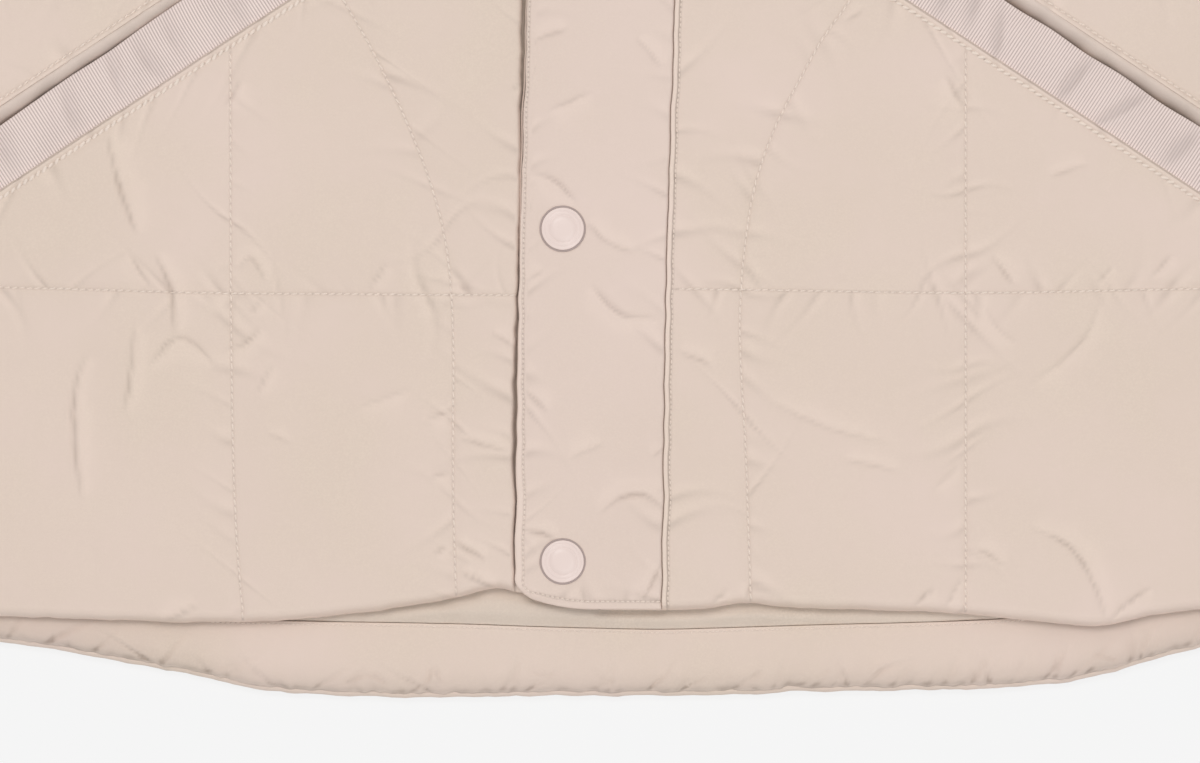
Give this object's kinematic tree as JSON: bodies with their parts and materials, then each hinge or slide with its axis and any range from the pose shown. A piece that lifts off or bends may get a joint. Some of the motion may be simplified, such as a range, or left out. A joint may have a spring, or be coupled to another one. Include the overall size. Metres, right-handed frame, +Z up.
{
  "type": "padded vest",
  "caption": "Box-quilted padded vest lying flat, snap flap down the front, slanted taped pockets, stand collar and a longer back hem.",
  "frame": {"origin": "middle of the vest's outline, on the surface it lies on", "axes": "+X to the wearer's left, +Y towards the collar, +Z up, out of the front"},
  "size_m": [0.57, 0.7882, 0.0199],
  "materials": {
    "shell": "matte",
    "flap": "matte",
    "lining": "matte",
    "tape": "matte",
    "snap": "satin"
  },
  "bodies": {
    "root": {"back_panel": "shell", "back_lining": "lining", "back_hem_facing": "shell", "front_panel_right": "shell", "front_panel_left": "shell", "pocket_tape_right": "tape", "pocket_tape_left": "tape", "pocket_facing_right": "shell", "pocket_facing_left": "shell", "flap_facing": "flap", "front_flap": "flap", "collar": "shell", "snap_cap_1": "snap", "snap_cap_2": "snap", "snap_cap_3": "snap", "snap_cap_4": "snap", "snap_cap_5": "snap", "snap_cap_6": "snap"}
  },
  "joints": []
}
